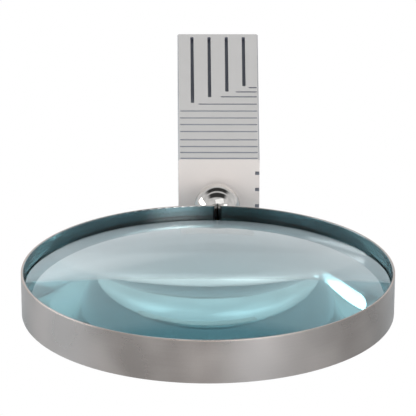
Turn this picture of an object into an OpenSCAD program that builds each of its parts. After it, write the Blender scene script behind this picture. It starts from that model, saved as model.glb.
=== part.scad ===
// Hand-held magnifying glass: a thick biconvex lens in a split metal band, a polished ball that
// draws the band's two ends together, and a square tapered handle with engraved grooves.
//
// Frame: +Z is the lens axis, +Y runs from the lens to the handle's far end, and the origin is
// at the middle of the whole object's base.

/* [Lens] */
// Diameter of the glass
lens_d = 91.6; // [70:0.1:110]
// Thickness of the glass at its edge
lens_edge = 3.1; // [2.5:0.1:4]
// Height of the upper dome above the edge
lens_crown_top = 6.75; // [3:0.05:8]
// Height of the lower dome below the edge
lens_crown_bottom = 4.55; // [3:0.05:8]
// Distance of the glass's edge below the middle of the band
lens_drop = 0.2; // [0:0.05:0.5]
// Bevel ground on both edges of the glass
lens_bevel = 0.4; // [0.2:0.1:0.8]

/* [Rim band] */
// Thickness of the band
band_wall = 0.65; // [0.65:0.05:1.6]
// Height of the band along the lens axis
band_h = 10.75; // [9:0.25:14]
// Radius on the band's edges
band_edge_r = 0.15; // [0.1:0.05:0.3]
// Depth of the seat cut round the inside of the band for the glass's edge
seat_deep = 0.3; // [0.2:0.05:0.4]
// Width of the split between the band's two ends
split_w = 1.6; // [0.8:0.1:2]

/* [Neck and ball] */
// Sideways distance from the lens centre to the axis of the split, ball and handle
axis_x = 2.5; // [0:0.05:4]
// Diameter of the ball nut
ball_d = 12.5; // [12:0.1:14]
// Distance from the band to the ball's centre
ball_gap = 13.5; // [11:0.1:16]
// Length of the ball between its two flats
ball_flats = 11; // [10:0.1:11.1]
// Outside diameter of the threaded stud
stud_d = 5; // [4:0.5:5]
// Pitch of the thread
pitch = 0.8; // [0.7:0.1:1]
// Length of the stud inside the handle
stud_reach = 9.5; // [7:0.5:12]

/* [Handle] */
// Length of the handle
handle_l = 121; // [100:1:140]
// Width and height of the handle at the lens end
handle_w_near = 22.15; // [18:0.05:26]
// Width and height of the handle at the far end
handle_w_far = 25.6; // [22:0.1:30]
// Distance from the ball's centre to the handle's near end
handle_gap = 7.5; // [7:0.1:10]
// Sideways distance from the stud's axis to the middle of the handle
handle_shift = 0.5; // [0:0.05:1]
// Radius on the corners of the far end
far_corner_r = 1.25; // [0.5:0.05:3]
// Width of the chamfer along the handle's edges
edge_chamfer = 0.35; // [0.2:0.05:0.8]

/* [Engraving] */
// Width of the cross grooves
cross_w = 1.3; // [0.6:0.1:1.6]
// Width of the lengthwise grooves
long_w = 1; // [0.6:0.1:1.4]
// Depth of every groove
groove_deep = 1.2; // [0.6:0.1:1.6]
// Distance from the near end to each groove that crosses the full face
cross_full = [1, 5.8, 10.8, 16.6, 23.7, 29.8, 35.8, 42.1]; // [1:0.1:45]
// Distance from the near end to each groove that stops at the mitre
cross_mitred = [48.5, 55.4, 60.1, 64.2]; // [46:0.1:66]
// Distance from the near end to the start of the mitre, on the lengthwise grooves
mitre_start = 50; // [40:1:60]
// Distance from the far end to the lengthwise grooves' blind ends
long_stop = 4.5; // [2:0.1:8]
// Distance from the handle's sides to the ends of the cross grooves
side_stop = 0.4; // [0.4:0.05:2]

/* [Hidden] */
$fn = 96;
fit = 0.05;                       // running clearance, per side
seat_r = lens_d / 2 + fit;
band_in = seat_r - seat_deep;
band_r = band_in + band_wall;
ball_y = band_r + ball_gap;       // from the lens centre, as are all the _y values
handle_y = ball_y + handle_gap;
stud_r = stud_d / 2;
bore_r = stud_r + fit;
thread_deep = 0.5 * pitch;
stud_end = handle_y + stud_reach;
ball_half = ball_flats / 2;
collar_r = sqrt(pow(ball_d / 2, 2) - pow(ball_half, 2));
collar_l = handle_gap - ball_half - fit;
insert_r = 3.6;
insert_l = 14;
insert_hole = 16;
lug_gap = 0.3;                    // daylight between the two half studs
foot_w = 10;                      // width of the two brazed feet together
foot_h = 7.6;
foot_t = 1.3;
neck_r = 4;
split_turn = asin(axis_x / band_in);
taper = (handle_w_far - handle_w_near) / 2 / handle_l;
lines = [-0.64, -0.215, 0.215, 0.64];      // lengthwise grooves, as shares of the half width
mitre_slope = 0.95;
mitre_offset = -5.3;              // where the first mitred cross groove begins
object_l = band_r + handle_y + handle_l;
shift = [0, band_r - object_l / 2, handle_w_far / 2];

// Radius of a dome that rises crown over a disc of radius r
function dome_r(r, crown) = (r * r + crown * crown) / (2 * crown);
// Half of the handle's width at a distance from its near end
function half_w(d) = handle_w_near / 2 + taper * d;

// Puts what is drawn about the lens centre into the row's frame
module placed() {
    translate(shift) children();
}

// Draws a profile's solid of revolution about the handle's axis: +Z of the child runs along +Y
module on_axis(y) {
    translate([axis_x, y, 0]) rotate([-90, 0, 0]) children();
}

// Rectangle with rounded corners, its lower left corner at the origin
module rounded_rectangle(w, h, r) {
    translate([r, 0]) square([w - 2 * r, h]);
    translate([0, r]) square([w, h - 2 * r]);
    for (x = [r, w - r], y = [r, h - r]) translate([x, y]) circle(r, $fn = 32);
}

// ---- Lens and rim ----

module lens_profile() {
    top_r = dome_r(lens_d / 2, lens_crown_top);
    bottom_r = dome_r(lens_d / 2, lens_crown_bottom);
    half = lens_edge / 2;
    cone = 12;                    // how far the bevel cones are drawn past the edge
    intersection() {
        translate([0, half + lens_crown_top - top_r]) circle(top_r, $fn = 720);
        translate([0, bottom_r - half - lens_crown_bottom]) circle(bottom_r, $fn = 720);
        polygon([
            [0, -cone - half], [lens_d / 2 - cone - lens_bevel, -cone - half],
            [lens_d / 2, lens_bevel - half], [lens_d / 2, half - lens_bevel],
            [lens_d / 2 - cone - lens_bevel, cone + half], [0, cone + half]
        ]);
    }
}

module lens() {
    color("lightcyan") placed() translate([0, 0, -lens_drop])
        rotate_extrude($fn = 180) lens_profile();
}

module rim_band() {
    seat_h = lens_edge + 2 * fit;
    color("silver") placed() difference() {
        rotate_extrude($fn = 180)
            translate([band_in, -band_h / 2]) rounded_rectangle(band_wall, band_h, band_edge_r);
        rotate_extrude($fn = 180)
            translate([band_in - 1, -lens_drop - seat_h / 2]) square([1 + seat_deep, seat_h]);
        rotate([0, 0, -split_turn])
            translate([-split_w / 2, band_in - 3, -band_h]) cube([split_w, 8, 2 * band_h]);
    }
}

// ---- Neck, ball and stud ----

function thread_outline(from, to) = concat(
    [[0, from], [stud_r - thread_deep, from]],
    [for (y = [from : pitch : to - pitch])
        for (p = [[stud_r - thread_deep, y], [stud_r, y + pitch / 2]]) p],
    [[stud_r - thread_deep, to], [0, to]]
);

// The foot, neck and stud as one turned shape, before it is sawn into two halves. The feet stop
// at the band's split.
module neck_and_stud() {
    shoulder = ball_y - ball_half;
    neck_y = band_r + foot_t - 0.3;
    difference() {
        union() {
            intersection() {
                cylinder(r = band_r + foot_t, h = foot_h, center = true, $fn = 180);
                translate([axis_x - foot_w / 2, 0, -foot_h])
                    cube([foot_w, band_r + foot_t, 2 * foot_h]);
            }
            on_axis(neck_y) cylinder(r1 = neck_r, r2 = collar_r, h = shoulder - neck_y);
            on_axis(0) rotate_extrude($fn = 64) polygon(thread_outline(shoulder, stud_end));
        }
        cylinder(r = band_r, h = band_h, center = true, $fn = 180);
        translate([axis_x - split_w / 2, 0, -foot_h]) cube([split_w, neck_y, 2 * foot_h]);
    }
}

module lug(side) {
    color("gainsboro") placed() intersection() {
        neck_and_stud();
        translate([axis_x + (side > 0 ? lug_gap / 2 : -foot_w - lug_gap / 2), 0, -foot_w])
            cube([foot_w, stud_end + 1, 2 * foot_w]);
    }
}

module left_lug() { lug(-1); }
module right_lug() { lug(1); }

module ball_nut() {
    color("white") placed() on_axis(ball_y) difference() {
        intersection() {
            sphere(d = ball_d, $fn = 96);
            cylinder(d = ball_d + 1, h = ball_flats, center = true);
        }
        cylinder(r = bore_r, h = ball_d, center = true, $fn = 64);
    }
}

module spacer_collar() {
    color("silver") placed() on_axis(ball_y + ball_half) difference() {
        cylinder(r = collar_r, h = collar_l);
        translate([0, 0, -1]) cylinder(r = bore_r, h = collar_l + 2, $fn = 64);
    }
}

// ---- Handle ----

// Outline of a tapered bar lying along +Y, with its two far corners rounded
module bar_outline(w_near, w_far, r) {
    polygon([
        [-w_near / 2, 0], [w_near / 2, 0],
        [w_far / 2, handle_l - r], [w_far / 2 - r, handle_l],
        [r - w_far / 2, handle_l], [-w_far / 2, handle_l - r]
    ]);
    for (side = [-1, 1]) translate([side * (w_far / 2 - r), handle_l - r]) circle(r, $fn = 48);
}

// Square tapered bar, tapered alike in width and in height
module tapered_bar(w_near, w_far, r) {
    depth = w_far + 4;
    intersection() {
        linear_extrude(height = depth, center = true) bar_outline(w_near, w_far, r);
        rotate([0, 90, 0])
            linear_extrude(height = depth, center = true) bar_outline(w_near, w_far, r);
    }
}

// A groove of width w, round at both ends, from [x0, y0] to [x1, y1] in a face
module groove(w, x0, y0, x1, y1) {
    run = sqrt(pow(x1 - x0, 2) + pow(y1 - y0, 2));
    translate([x0, y0, -groove_deep]) rotate([0, 0, atan2(y1 - y0, x1 - x0)]) {
        translate([0, -w / 2, 0]) cube([run, w, groove_deep + 2]);
        for (x = [0, run]) translate([x, 0, 0]) cylinder(d = w, h = groove_deep + 2, $fn = 24);
    }
}

// The engraved motif on one face, from the face's near end along +Y, with the face at z = 0.
// reach is how far the lengthwise grooves run past the end that they are nearest to.
module motif(flipped, reach) {
    for (d = cross_full) {
        y = along(d, flipped);
        groove(cross_w, -groove_end(y), y, groove_end(y), y);
    }
    for (d = cross_mitred) {
        y = along(d, flipped);
        groove(cross_w, mitre_offset + (d - cross_mitred[0]) * mitre_slope, y, groove_end(y), y);
    }
    for (share = lines) {
        inner = mitre_start + (share - lines[0]) * half_w(handle_l / 2) / mitre_slope;
        outer = handle_l + reach;
        groove(long_w, share * half_w(along(inner, flipped)), along(inner, flipped),
               share * half_w(along(outer, flipped)), along(outer, flipped));
    }
}

// Distance from the near end, for a motif that may be turned end for end
function along(d, flipped) = flipped ? handle_l - d : d;
// Centre of a cross groove's round end, from the middle of the face
function groove_end(d) = half_w(d) - side_stop - cross_w / 2;

// Lays a face's cutters on the bar's tapered face that looks along +Z, turned about the axis
module on_face(turn) {
    rotate([0, turn, 0])
        translate([0, 0, handle_w_near / 2]) rotate([atan(taper), 0, 0]) children();
}

module handle_bar() {
    diagonal = sqrt(2);
    color("whitesmoke") placed() translate([axis_x + handle_shift, handle_y, 0]) difference() {
        intersection() {
            tapered_bar(handle_w_near, handle_w_far, far_corner_r);
            rotate([0, 45, 0])
                tapered_bar(handle_w_near * diagonal - edge_chamfer * diagonal,
                            handle_w_far * diagonal - edge_chamfer * diagonal, far_corner_r);
        }
        on_face(0) motif(false, -long_stop);
        on_face(-90) mirror([1, 0, 0]) motif(false, -long_stop);
        on_face(90) motif(true, 2);
        on_face(180) mirror([1, 0, 0]) motif(true, 2);
        translate([-handle_shift, -1, 0]) rotate([-90, 0, 0])
            cylinder(r = insert_r, h = insert_hole + 1);
    }
}

module handle_insert() {
    color("goldenrod") placed() on_axis(handle_y) difference() {
        cylinder(r = insert_r - 0.02, h = insert_l);
        translate([0, 0, -1]) cylinder(r = bore_r, h = insert_l + 2, $fn = 64);
    }
}

lens();
rim_band();
left_lug();
right_lug();
ball_nut();
spacer_collar();
handle_insert();
handle_bar();
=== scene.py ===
"""Looks of the magnifying glass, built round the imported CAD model."""
import math

import bmesh
import bpy
from mathutils import Matrix, Vector


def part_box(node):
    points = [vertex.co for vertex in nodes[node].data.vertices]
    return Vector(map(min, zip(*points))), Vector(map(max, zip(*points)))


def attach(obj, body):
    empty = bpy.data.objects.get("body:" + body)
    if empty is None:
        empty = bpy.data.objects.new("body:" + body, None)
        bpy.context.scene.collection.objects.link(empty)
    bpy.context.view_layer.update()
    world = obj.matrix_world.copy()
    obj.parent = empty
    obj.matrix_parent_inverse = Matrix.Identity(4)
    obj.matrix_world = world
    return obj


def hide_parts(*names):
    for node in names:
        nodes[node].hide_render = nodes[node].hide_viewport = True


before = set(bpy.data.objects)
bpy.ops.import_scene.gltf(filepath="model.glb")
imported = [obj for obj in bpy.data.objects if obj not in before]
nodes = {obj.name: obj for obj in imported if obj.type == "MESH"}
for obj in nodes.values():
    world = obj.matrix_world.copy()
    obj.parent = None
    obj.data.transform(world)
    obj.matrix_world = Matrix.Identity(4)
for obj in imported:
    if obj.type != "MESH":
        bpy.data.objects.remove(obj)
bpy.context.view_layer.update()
scene = bpy.context.scene
MM = 0.001

# ---- Places read off the frame ----

BAND_LOW, BAND_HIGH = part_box("rim_band")
LENS_LOW, LENS_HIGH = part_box("lens")
BAR_LOW, BAR_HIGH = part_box("handle_bar")
LENS_X = (LENS_LOW.x + LENS_HIGH.x) / 2
LENS_Y = (LENS_LOW.y + LENS_HIGH.y) / 2
LENS_R = (LENS_HIGH.x - LENS_LOW.x) / 2
BAND_R = (BAND_HIGH.x - BAND_LOW.x) / 2
AXIS_X = (BAR_LOW.x + BAR_HIGH.x) / 2
AXIS_Z = (BAR_LOW.z + BAR_HIGH.z) / 2
BAR_LENGTH = BAR_HIGH.y - BAR_LOW.y
BAR_HALF_FAR = (BAR_HIGH.x - BAR_LOW.x) / 2

# ---- Sizes that a box doesn't tell ----

CROWN_TOP, CROWN_BOTTOM = 6.75 * MM, 4.55 * MM     # heights of the glass's two domes
GLASS_EDGE_TOP = LENS_HIGH.z - CROWN_TOP
GLASS_EDGE_BOTTOM = LENS_LOW.z + CROWN_BOTTOM
LENS_BEVEL = 0.4 * MM
BAR_HALF_NEAR = 22.15 / 2 * MM
BAR_TAPER = (BAR_HALF_FAR - BAR_HALF_NEAR) / BAR_LENGTH


# ---- Node helpers ----

class Nodes:
    """A node tree, with short calls for the nodes this script uses."""

    def __init__(self, owner, shader="Principled BSDF", output="Material Output", place="Object"):
        owner.use_nodes = True
        self.material = owner
        self.tree = owner.node_tree
        self.shader = self.tree.nodes[shader]
        self.output = self.tree.nodes[output]
        self.place = self.add("ShaderNodeTexCoord").outputs[place]

    def add(self, kind, **settings):
        node = self.tree.nodes.new(kind)
        for key, value in settings.items():
            setattr(node, key, value)
        return node

    def put(self, value, socket):
        if isinstance(value, bpy.types.NodeSocket):
            self.tree.links.new(value, socket)
        else:
            socket.default_value = value

    def set(self, **values):
        for key, value in values.items():
            self.put(value, self.shader.inputs[key.replace("_", " ")])

    def math(self, operation, *values):
        node = self.add("ShaderNodeMath", operation=operation)
        for value, socket in zip(values, node.inputs):
            self.put(value, socket)
        return node.outputs[0]

    def plus(self, a, b):
        return self.math("ADD", a, b)

    def minus(self, a, b):
        return self.math("SUBTRACT", a, b)

    def times(self, a, b):
        return self.math("MULTIPLY", a, b)

    def off(self, value, place):
        """How far a value is from a place, to either side."""
        return self.math("ABSOLUTE", self.minus(value, place))

    def ramp(self, value, low, high, to_low=0.0, to_high=1.0):
        node = self.add("ShaderNodeMapRange", interpolation_type="SMOOTHSTEP")
        for v, socket in zip((value, low, high, to_low, to_high), node.inputs):
            self.put(v, socket)
        return node.outputs[0]

    def split(self, vector):
        node = self.add("ShaderNodeSeparateXYZ")
        self.put(vector, node.inputs[0])
        return node.outputs[0], node.outputs[1], node.outputs[2]

    def join(self, x, y, z):
        node = self.add("ShaderNodeCombineXYZ")
        for v, socket in zip((x, y, z), node.inputs):
            self.put(v, socket)
        return node.outputs[0]

    def noise(self, vector, scale, detail, roughness):
        node = self.add("ShaderNodeTexNoise")
        self.put(vector, node.inputs["Vector"])
        node.inputs["Scale"].default_value = scale
        node.inputs["Detail"].default_value = detail
        node.inputs["Roughness"].default_value = roughness
        return node.outputs["Fac"]

    def mix(self, factor, first, second):
        node = self.add("ShaderNodeMix", data_type="RGBA")
        self.put(factor, node.inputs[0])
        self.put(first, node.inputs[6])
        self.put(second, node.inputs[7])
        return node.outputs[2]

    def bump(self, height, strength, distance):
        node = self.add("ShaderNodeBump")
        node.inputs["Strength"].default_value = strength
        node.inputs["Distance"].default_value = distance
        self.put(height, node.inputs["Height"])
        self.put(node.outputs[0], self.shader.inputs["Normal"])


def rgb(r, g, b):
    return (r, g, b, 1.0)


def from_lens_axis(n, x, y):
    """Distance from the lens's axis."""
    dx, dy = n.minus(x, LENS_X), n.minus(y, LENS_Y)
    return n.math("SQRT", n.plus(n.times(dx, dx), n.times(dy, dy)))


# ---- Glass ----

GLASS_IOR = 1.52
GLASS_COLOUR, GLASS_DENSITY = rgb(0.27, 0.62, 0.67), 24


def glass(name, scale, detail, patches, roughness):
    """Crown glass with a faint teal body colour, its roughness following a noise."""
    n = Nodes(bpy.data.materials.new(name))
    marks = n.noise(n.place, scale, detail, 0.6)
    n.set(Base_Color=rgb(1, 1, 1), IOR=GLASS_IOR, Transmission_Weight=1.0,
          Roughness=n.ramp(marks, *patches, *roughness))
    volume = n.add("ShaderNodeVolumeAbsorption")
    volume.inputs["Color"].default_value = GLASS_COLOUR
    volume.inputs["Density"].default_value = GLASS_DENSITY
    n.put(volume.outputs[0], n.output.inputs["Volume"])
    return n.material


def optical_glass():
    """The lens's two faces: clear, with the haze of old fingerprints."""
    return glass("optical_glass", 90, 4, (0.45, 0.8), (0.0, 0.02))


def lens_edge_glass():
    """The lens's edge and bevels: finely ground, not quite clear."""
    return glass("lens_edge_glass", 2500, 3, (0.3, 0.7), (0.1, 0.2))


# ---- Band, lugs, ball and insert ----

# Painted highlights on the band's front, for the lamps' reflections: place right of the lens's
# axis, half width, mm, and strength. They stop within 5 mm of the middle, so the back has none.
FRONT_HIGHLIGHTS = ((11, 12, 0.5), (22, 12, 0.2), (-34, 14, 0.5))
FRONT_HIGHLIGHTS_STOP = 5 * MM
# The painted shade on the inner wall above the glass: its darkest place right of the handle's
# middle, and the distances from it between which it thins out, mm.
SHADE_MIDDLE, SHADE_THINS = 5, (2, 14)
# A painted highlight, where that painted shade is left out: place right of the lens's axis and
# half width, mm.
WALL_HIGHLIGHT, WALL_HIGHLIGHT_HALF = -8.5, 10
# The painted shade round the split: place left of the handle's middle, and its half width, mm.
SPLIT_LEFT, SPLIT_SHADE_HALF = 0.5, (0.9, 1.3)
# Distances from the band's outside between which the lugs' painted shade gives way to plating,
# mm.
LUG_SHADE_ENDS = (1.3, 2.6)


def satin_steel():
    """The band: satin and blotched outside, with painted highlights on the front; polished
    inside, with painted shade above the glass and round the split, and one painted highlight.
    """
    n = Nodes(bpy.data.materials.new("satin_steel"))
    x, y, z = n.split(n.place)
    outside = n.ramp(from_lens_axis(n, x, y), BAND_R - 0.5 * MM, BAND_R - 0.3 * MM)
    above_glass = n.ramp(z, GLASS_EDGE_TOP - 0.1 * MM, GLASS_EDGE_TOP + 0.1 * MM)

    drawn = n.join(n.times(x, 0.05), n.times(y, 0.05), z)
    streak = n.noise(drawn, 2500, 2, 0.5)
    grain = n.noise(n.place, 2500, 2, 0.6)
    blotch = n.noise(n.place, 45, 2, 0.5)
    fine = n.plus(n.times(streak, 0.5), n.times(grain, 0.5))
    shade = n.plus(n.times(fine, 0.1), n.times(blotch, 0.9))

    # Painted highlights: the front is lightened in patches where the lamps reflect.
    front_highlight = 0.0
    for place, half, amount in FRONT_HIGHLIGHTS:
        patch = n.ramp(n.off(x, LENS_X + place * MM), 0.0, half * MM, 1.0, 0.0)
        front_highlight = n.plus(n.times(patch, amount), front_highlight)
    front = n.ramp(y, LENS_Y - FRONT_HIGHLIGHTS_STOP, LENS_Y + FRONT_HIGHLIGHTS_STOP, 1.0, 0.0)
    dull = n.mix(n.ramp(shade, 0.36, 0.62), rgb(0.325, 0.275, 0.25), rgb(0.455, 0.39, 0.36))
    metal = n.mix(n.times(front_highlight, front), dull, rgb(0.72, 0.655, 0.63))

    # Painted shade: the wall above the glass is darkened, most just right of the handle's middle.
    thin = n.ramp(n.off(x, AXIS_X + SHADE_MIDDLE * MM), *(d * MM for d in SHADE_THINS))
    above_glass_shade = n.mix(thin, rgb(0.12, 0.135, 0.135), rgb(0.25, 0.28, 0.29))
    # Painted highlight: round this place the shade is left out, so the wall shows bright.
    beside_wall_highlight = n.ramp(n.off(x, LENS_X + WALL_HIGHLIGHT * MM), 0.0, WALL_HIGHLIGHT_HALF * MM)
    inner = n.mix(n.times(above_glass, beside_wall_highlight), rgb(0.88, 0.87, 0.86), above_glass_shade)
    # Painted shade: a near-black band down the back of the inner wall, round the split.
    from_split = n.off(x, AXIS_X - SPLIT_LEFT * MM)
    split_shade = n.ramp(from_split, *(d * MM for d in SPLIT_SHADE_HALF), 1.0, 0.0)
    at_back = n.ramp(y, LENS_Y, LENS_Y + MM)
    inner = n.mix(n.times(split_shade, at_back), inner, rgb(0.02, 0.02, 0.02))

    satin = n.ramp(shade, 0.3, 0.7, 0.25, 0.36)
    polish = n.plus(n.ramp(fine, 0.3, 0.7, 0.04, 0.08), n.times(above_glass, 0.07))
    n.set(Base_Color=n.mix(outside, inner, metal), Metallic=1.0,
          Roughness=n.plus(n.times(satin, outside), n.times(polish, n.minus(1.0, outside))))
    n.bump(n.times(fine, outside), 0.02, 0.02 * MM)
    return n.material


def plated_lug():
    """The lugs and the collar: worn plating, with painted shade where the lugs meet the band."""
    n = Nodes(bpy.data.materials.new("plated_lug"))
    x, y, _ = n.split(n.place)
    wear = n.noise(n.place, 900, 3, 0.6)
    plating = n.mix(wear, rgb(0.5, 0.49, 0.47), rgb(0.66, 0.65, 0.63))
    # Painted shade: the lugs are near black next to the band, where the slot is in shade.
    past_lug_shade = n.ramp(from_lens_axis(n, x, y), *(BAND_R + d * MM for d in LUG_SHADE_ENDS))
    n.set(Base_Color=n.mix(past_lug_shade, rgb(0.03, 0.03, 0.03), plating), Metallic=1.0,
          Roughness=n.ramp(wear, 0.3, 0.7, 0.14, 0.28))
    n.bump(wear, 0.1, 0.02 * MM)
    return n.material


def polished_chrome():
    """The ball: a mirror with a slight haze."""
    n = Nodes(bpy.data.materials.new("polished_chrome"))
    haze = n.noise(n.place, 700, 3, 0.6)
    n.set(Base_Color=rgb(0.5, 0.49, 0.475), Metallic=1.0,
          Roughness=n.ramp(haze, 0.4, 0.8, 0.03, 0.1))
    return n.material


def insert_brass():
    """The handle's bush: brass as it comes from the lathe."""
    n = Nodes(bpy.data.materials.new("insert_brass"))
    grain = n.noise(n.place, 1500, 3, 0.6)
    n.set(Base_Color=n.mix(grain, rgb(0.62, 0.42, 0.16), rgb(0.78, 0.56, 0.25)), Metallic=1.0,
          Roughness=n.ramp(grain, 0.3, 0.7, 0.22, 0.4))
    return n.material


# ---- Handle ----

# Depths below a face between which its metal gives way to a groove's patina, mm.
GROOVE_STARTS = (0.03, 0.16)
# Distances from the near end between which the end face gives way to the sides, mm.
END_FACE = (0.02, 0.06)
# Distances from the far end between which the groove mask stops, short of the rounding, mm.
FAR_ROUNDING = (1.4, 1.3)
# Distances from the near end between which the patina darkens, mm.
PATINA_DARKENS = (40, 64)


def satin_aluminium():
    """The handle: satin faces, grooves filled with dark patina."""
    n = Nodes(bpy.data.materials.new("satin_aluminium"))
    x, y, z = n.split(n.place)
    from_end = n.minus(y, BAR_LOW.y)
    half = n.plus(n.times(from_end, BAR_TAPER), BAR_HALF_NEAR)
    sunk = n.minus(half, n.math("MAXIMUM", n.off(x, AXIS_X), n.off(z, AXIS_Z)))
    past_end_face = n.ramp(from_end, *(d * MM for d in END_FACE))
    before_rounding = n.ramp(from_end, *(BAR_LENGTH - d * MM for d in FAR_ROUNDING), 1.0, 0.0)
    on_side = n.times(past_end_face, before_rounding)
    groove = n.times(n.ramp(sunk, *(d * MM for d in GROOVE_STARTS)), on_side)

    grain = n.noise(n.join(x, n.times(y, 0.05), z), 3500, 3, 0.6)
    cloud = n.noise(n.place, 60, 3, 0.5)
    shade = n.plus(n.times(grain, 0.5), n.times(cloud, 0.5))
    side = n.mix(shade, rgb(0.505, 0.50, 0.495), rgb(0.60, 0.595, 0.59))
    # Painted highlight: the end face is a lighter, warmer copy of the side metal, for the light
    # it catches from the front.
    end = n.mix(shade, rgb(0.60, 0.57, 0.555), rgb(0.72, 0.68, 0.66))
    metal = n.mix(past_end_face, end, side)
    darker = n.ramp(from_end, *(d * MM for d in PATINA_DARKENS))
    patina = n.mix(darker, rgb(0.27, 0.29, 0.33), rgb(0.13, 0.145, 0.185))
    n.set(Base_Color=n.mix(groove, metal, patina),
          Metallic=n.times(0.4, n.minus(1.0, groove)),
          Roughness=n.plus(n.ramp(grain, 0.3, 0.7, 0.44, 0.54), n.times(groove, 0.2)))
    n.bump(grain, 0.12, 0.02 * MM)
    return n.material


# ---- The lens ----

LENS_TURNS, LENS_RINGS = 256, 72
LENS_SHARP_FROM = 20               # degrees between two faces
POLISHED, GROUND = 0, 1            # the lens's material slots
BISECTIONS = 40


def dome(radius, crown):
    """Height of a dome above its own rim, as a function of the distance from the axis."""
    sphere = (radius * radius + crown * crown) / (2 * crown)
    return lambda r: math.sqrt(sphere * sphere - r * r) - (sphere - crown)


def dome_line(radius, crown):
    """Points (r, height over the glass's edge) from the axis to the end of the bevel."""
    height = dome(radius, crown)
    low, high = radius - 2 * LENS_BEVEL, radius
    for _ in range(BISECTIONS):    # closes in on where the dome meets the bevel
        mid = (low + high) / 2
        if height(mid) > radius - LENS_BEVEL - mid:
            high = mid
        else:
            low = mid
    line = [(low * i / LENS_RINGS, height(low * i / LENS_RINGS)) for i in range(LENS_RINGS + 1)]
    return line + [(radius, -LENS_BEVEL)]


def spun_lens():
    """The glass, spun from its outline finely enough to refract smoothly."""
    top = [(r, GLASS_EDGE_TOP + h) for r, h in dome_line(LENS_R, CROWN_TOP)]
    bottom = [(r, GLASS_EDGE_BOTTOM - h) for r, h in dome_line(LENS_R, CROWN_BOTTOM)]
    edge_from, edge_to = len(bottom) - 2, len(bottom)
    turn = 2 * math.pi / LENS_TURNS
    around = [(math.cos(i * turn), math.sin(i * turn)) for i in range(LENS_TURNS)]
    bm = bmesh.new()
    rows = []
    for r, z in bottom + top[::-1]:
        if r == 0:
            rows.append([bm.verts.new((LENS_X, LENS_Y, z))] * LENS_TURNS)
        else:
            rows.append([bm.verts.new((LENS_X + r * c, LENS_Y + r * s, z)) for c, s in around])
    for k, (row, above) in enumerate(zip(rows, rows[1:])):
        for i in range(LENS_TURNS):
            j = (i + 1) % LENS_TURNS
            corners = dict.fromkeys((row[i], row[j], above[j], above[i]))
            face = bm.faces.new(list(corners))
            face.smooth = True
            face.material_index = GROUND if edge_from <= k <= edge_to else POLISHED
    bmesh.ops.recalc_face_normals(bm, faces=bm.faces)
    for edge in bm.edges:
        edge.smooth = edge.calc_face_angle(0) < math.radians(LENS_SHARP_FROM)
    mesh = bpy.data.meshes.new("lens_glass")
    bm.to_mesh(mesh)
    bm.free()
    piece = bpy.data.objects.new("lens_glass", mesh)
    scene.collection.objects.link(piece)
    mesh.materials.append(optical_glass())
    mesh.materials.append(lens_edge_glass())
    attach(piece, "head")
    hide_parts("lens")


# ---- Dress the CAD nodes ----

CAD_SHARP_FROM = 30                # degrees between two faces


def dress(material, *names):
    for name in names:
        mesh = nodes[name].data
        mesh.materials.clear()
        mesh.materials.append(material)


def smooth(angle, *names):
    """Smooth shading with sharp edges kept, on the mesh's own flags."""
    for name in names:
        mesh = nodes[name].data
        if mesh.has_custom_normals:
            with bpy.context.temp_override(active_object=nodes[name], object=nodes[name]):
                bpy.ops.mesh.customdata_custom_splitnormals_clear()
        mesh.shade_smooth()
        mesh.set_sharp_from_angle(angle=math.radians(angle))


spun_lens()
dress(satin_steel(), "rim_band")
dress(plated_lug(), "left_lug", "right_lug", "spacer_collar")
dress(polished_chrome(), "ball_nut")
dress(insert_brass(), "handle_insert")
dress(satin_aluminium(), "handle_bar")
smooth(CAD_SHARP_FROM, *[n for n in nodes if n != "lens"])

# ---- Camera ----

CAMERA_DISTANCE = 600.6 * MM
CAMERA_ELEVATION = math.radians(21.18)
CAMERA_TILT = math.radians(1.416)      # the camera looks a little above the lens
CAMERA_ROLL = math.radians(0.0488)
SENSOR, FOCAL_LENGTH = 36, 210.06      # mm
CLIP_START = 0.01
target = Vector((LENS_X, LENS_Y, BAND_HIGH.z))
back = Vector((0, -math.cos(CAMERA_ELEVATION), math.sin(CAMERA_ELEVATION)))
turn = (Matrix.Rotation(math.pi / 2 - CAMERA_ELEVATION + CAMERA_TILT, 4, "X")
        @ Matrix.Rotation(CAMERA_ROLL, 4, "Z"))
camera = bpy.data.objects.new("camera", bpy.data.cameras.new("camera"))
scene.collection.objects.link(camera)
camera.matrix_world = Matrix.Translation(target + back * CAMERA_DISTANCE) @ turn
camera.data.sensor_width = SENSOR
camera.data.lens = FOCAL_LENGTH
camera.data.clip_start = CLIP_START
scene.camera = camera

# ---- Floor, light and surroundings ----

FLOOR_REACH = 6.0                      # half the floor's width, m
FLOOR_COLOUR = rgb(0.66, 0.745, 0.795)
# The surroundings' brightness. A pair is the darkest and the brightest of its clouds.
WALL, CEILING, GLOW = (0.84, 1.06), 0.06, (0.25, 0.6)
# Where they stand, in degrees over the object from the horizon behind the handle: from, to and
# half the width of the soft edge.
CEILING_SPAN, STRIP_SPAN, GLOW_SPAN = (47, 111, 3), (74, 84, 1.5), (12, 24, 7)
# How far they reach to the sides, as the sideways part of the direction: whole up to the first
# value, and faded from the second.
CEILING_SIDES, GLOW_SIDES = (0.45, 0.75), (0.3, 0.65)
GLOW_AT_SIDES = 0.3


def pale_floor():
    """White where the camera sees it, and a grey-blue table in reflections and refractions."""
    mesh = bpy.data.meshes.new("floor")
    d = FLOOR_REACH
    mesh.from_pydata([(-d, -d, 0), (d, -d, 0), (d, d, 0), (-d, d, 0)], [], [(0, 1, 2, 3)])
    floor = bpy.data.objects.new("floor", mesh)
    scene.collection.objects.link(floor)
    n = Nodes(bpy.data.materials.new("floor"))
    n.set(Base_Color=FLOOR_COLOUR, Roughness=0.9)
    seen = n.add("ShaderNodeLightPath").outputs["Is Camera Ray"]
    white = n.add("ShaderNodeEmission")
    white.inputs["Strength"].default_value = 1.0
    blend = n.add("ShaderNodeMixShader")
    for value, socket in zip((seen, n.shader.outputs[0], white.outputs[0]), blend.inputs):
        n.put(value, socket)
    n.put(blend.outputs[0], n.output.inputs["Surface"])
    mesh.materials.append(n.material)


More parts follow.
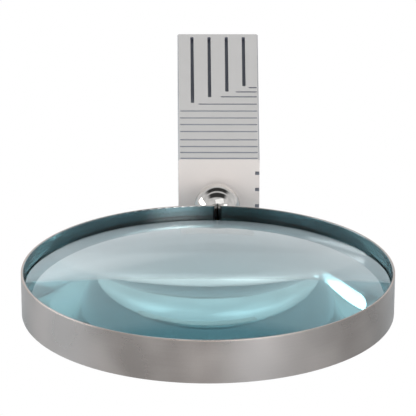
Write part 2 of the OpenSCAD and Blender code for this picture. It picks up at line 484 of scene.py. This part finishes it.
def studio():
    """Pale walls, a dark ceiling with one strip of light across it, and a low glow behind."""
    scene.world = bpy.data.worlds.new("studio")
    n = Nodes(scene.world, "Background", "World Output", "Generated")
    x, y, z = n.split(n.place)
    aside = n.math("ABSOLUTE", x)
    up = n.math("ARCTAN2", z, y)

    def between(span):
        low, high, soft = map(math.radians, span)
        return n.times(n.ramp(up, low - soft, low + soft),
                       n.ramp(up, high - soft, high + soft, 1.0, 0.0))

    ceiling = n.times(between(CEILING_SPAN), n.ramp(aside, *CEILING_SIDES, 1.0, 0.0))
    dark = n.times(ceiling, n.minus(1.0, between(STRIP_SPAN)))
    cloud = n.ramp(n.noise(n.place, 2.6, 1, 0.5), 0.32, 0.68, *WALL)
    light = n.plus(n.times(cloud, n.minus(1.0, dark)), n.times(CEILING, dark))
    wisp = n.ramp(n.noise(n.join(x, y, n.times(z, 3)), 3, 1, 0.5), 0.38, 0.62, *GLOW)
    wisp = n.times(wisp, n.ramp(aside, *GLOW_SIDES, 1.0, GLOW_AT_SIDES))
    light = n.plus(light, n.times(wisp, between(GLOW_SPAN)))
    n.put(n.join(light, light, light), n.shader.inputs["Color"])


def softbox(name, azimuth, elevation, distance, width, height, radiance, tint=(1, 1, 1)):
    """A rectangular light aimed at the lens. Azimuth is from +Y towards -X, in degrees."""
    a, e = math.radians(azimuth), math.radians(elevation)
    away = Vector((-math.sin(a) * math.cos(e), math.cos(a) * math.cos(e), math.sin(e)))
    light = bpy.data.lights.new(name, "AREA")
    light.shape = "RECTANGLE"
    light.color = tint
    light.size, light.size_y = width, height
    light.energy = radiance * math.pi * width * height
    lamp = bpy.data.objects.new(name, light)
    scene.collection.objects.link(lamp)
    lamp.location = target + away * distance
    lamp.rotation_euler = (-away).to_track_quat("-Z", "Y").to_euler()
    lamp.visible_camera = False


pale_floor()
studio()
softbox("left_softbox", azimuth=85, elevation=16, distance=1.0,
        width=0.9, height=0.3, radiance=4.6)
softbox("front_softbox", azimuth=195, elevation=15, distance=1.2,
        width=2.0, height=0.7, radiance=2.7, tint=(1, 0.965, 0.94))
softbox("front_high_softbox", azimuth=199, elevation=50, distance=1.2,
        width=0.9, height=0.5, radiance=0.8)

scene.view_settings.view_transform = "Standard"
scene.cycles.use_denoising = True
scene.cycles.max_bounces = 24
scene.cycles.transmission_bounces = 20
scene.cycles.glossy_bounces = 10
